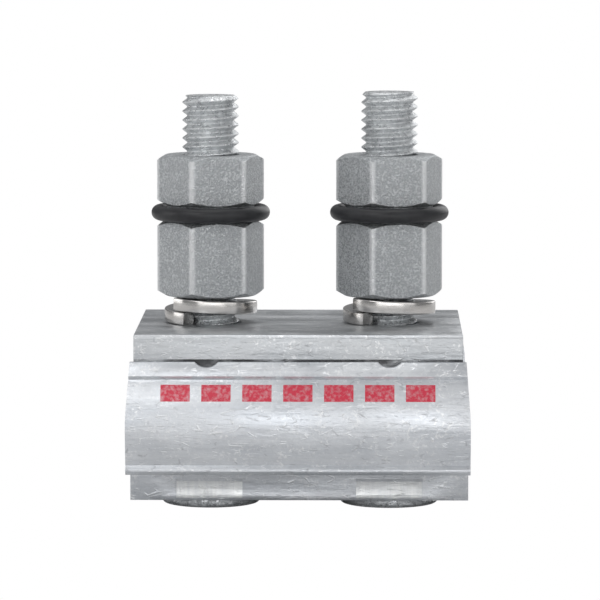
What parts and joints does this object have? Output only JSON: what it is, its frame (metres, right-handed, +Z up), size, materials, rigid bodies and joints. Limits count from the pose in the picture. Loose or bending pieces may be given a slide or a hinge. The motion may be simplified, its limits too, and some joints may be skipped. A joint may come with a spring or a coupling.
{
  "type": "parallel groove clamp",
  "caption": "Aluminium parallel groove clamp for two overhead conductors: troughed body, jawed top plate, galvanised bolts with shear nuts, rubber rings and spring washers.",
  "frame": {"origin": "on the plane the bolt heads stand on, midway between the two bolts and between the two grooves", "axes": "+X along the conductors and the row of bolts, +Y across to the back groove, +Z up along the bolts to their threaded ends"},
  "size_m": [0.047, 0.044, 0.0578],
  "materials": {
    "extruded_aluminium": "satin extruded aluminium with drawing lines and scuffs",
    "galvanised_bolt": "galvanised steel thread, matt with bright crests",
    "galvanised_nut": "grainy matt galvanised steel",
    "spring_steel": "bright drawn spring steel",
    "black_rubber": "smooth black rubber"
  },
  "bodies": {
    "base": {"lower_body": "extruded_aluminium", "left_bolt": "galvanised_bolt", "right_bolt": "galvanised_bolt"},
    "plate": {"upper_plate": "extruded_aluminium", "left_spring_washer": "spring_steel", "right_spring_washer": "spring_steel"},
    "left_nut": {"left_shear_nut": "galvanised_nut", "left_rubber_ring": "black_rubber"},
    "right_nut": {"right_shear_nut": "galvanised_nut", "right_rubber_ring": "black_rubber"}
  },
  "joints": [
    {"name": "plate_lift", "type": "slide", "parent": "base", "child": "plate", "axis": [0, 0, 1], "range_m": [0, 0.02]},
    {"name": "left_nut_turn", "type": "hinge", "parent": "plate", "child": "left_nut", "pos_m": [-0.0125, 0, 0.035], "axis": [0, 0, 1], "range_deg": [0, 5760]},
    {"name": "right_nut_turn", "type": "hinge", "parent": "plate", "child": "right_nut", "pos_m": [0.0125, 0, 0.035], "axis": [0, 0, 1], "range_deg": [0, 5760]}
  ],
  "couplings": [
    {"joint": "left_nut_turn", "follows": "plate_lift", "rad_per_m": 5026.5},
    {"joint": "right_nut_turn", "follows": "plate_lift", "rad_per_m": 5026.5}
  ]
}
